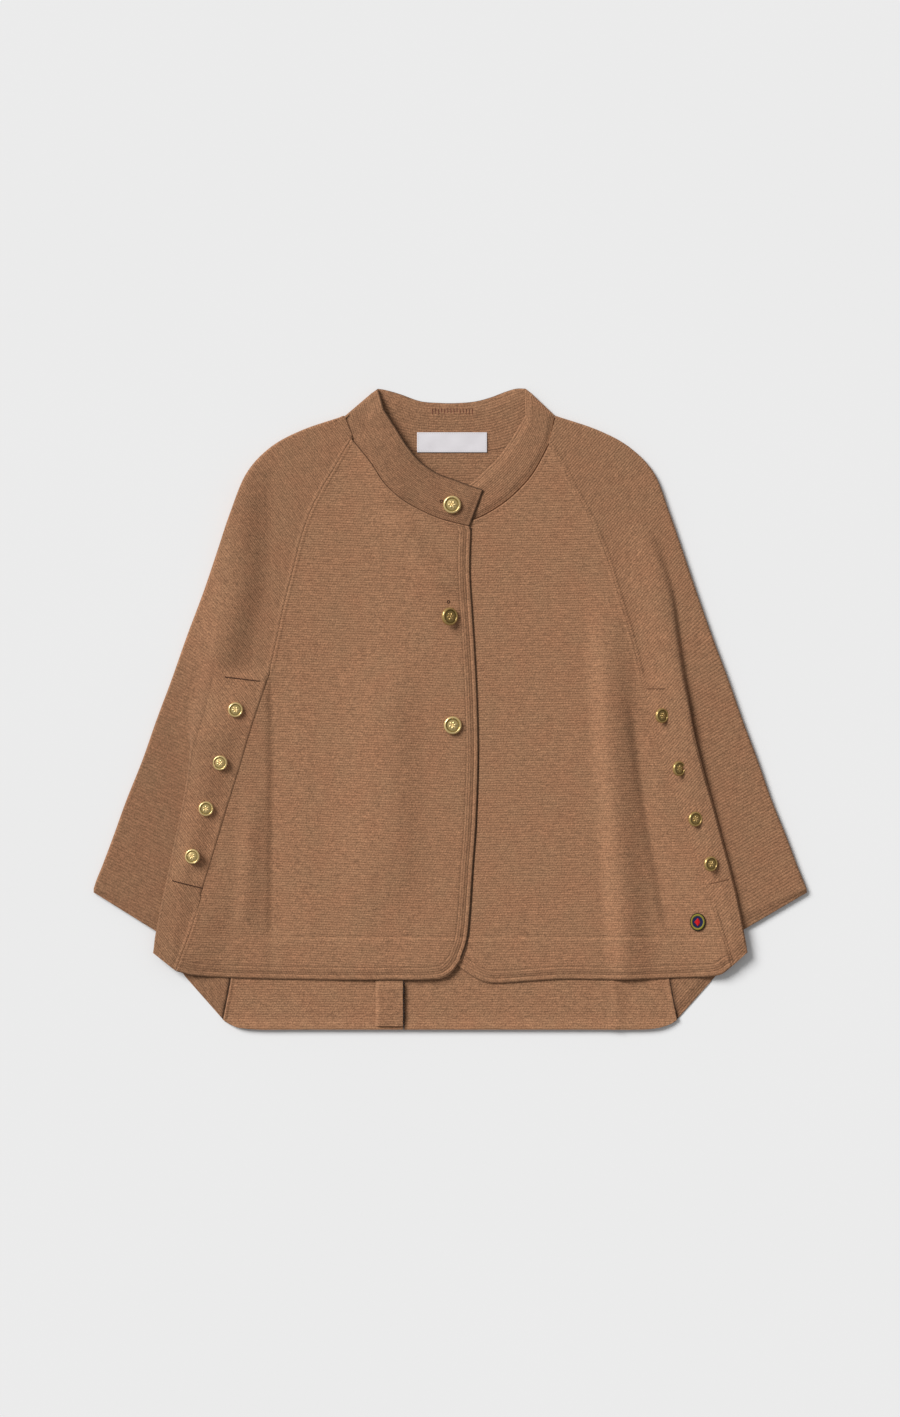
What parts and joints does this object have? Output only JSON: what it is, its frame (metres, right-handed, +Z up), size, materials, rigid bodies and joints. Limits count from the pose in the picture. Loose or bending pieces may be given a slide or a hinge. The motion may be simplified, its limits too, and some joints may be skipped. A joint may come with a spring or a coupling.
{
  "type": "knitted wool cape laid flat",
  "caption": "Buttoned knit cape with a stand collar, slit sides and a longer back, laid flat with its front up.",
  "frame": {"origin": "middle of the cape's outline, on the surface that it lies on", "axes": "+X to the viewer's right of the cape as it lies, +Y to the neck, +Z up, towards the viewer"},
  "size_m": [0.7167, 0.6422, 0.0193],
  "materials": {
    "camel_knit": "matte ribbed knit",
    "label_satin": "satin",
    "badge_thread": "embroidered",
    "gold_metal": "polished"
  },
  "bodies": {
    "root": {"back": "camel_knit", "back_vent_band": "camel_knit", "side_left": "camel_knit", "side_right": "camel_knit", "front_left": "camel_knit", "front_right": "camel_knit", "collar": "camel_knit", "neck_label": "label_satin", "front_badge": "badge_thread", "button_front_1": "gold_metal", "button_front_2": "gold_metal", "button_front_3": "gold_metal", "button_left_1": "gold_metal", "button_left_2": "gold_metal", "button_left_3": "gold_metal", "button_left_4": "gold_metal", "button_right_1": "gold_metal", "button_right_2": "gold_metal", "button_right_3": "gold_metal", "button_right_4": "gold_metal"}
  },
  "joints": []
}
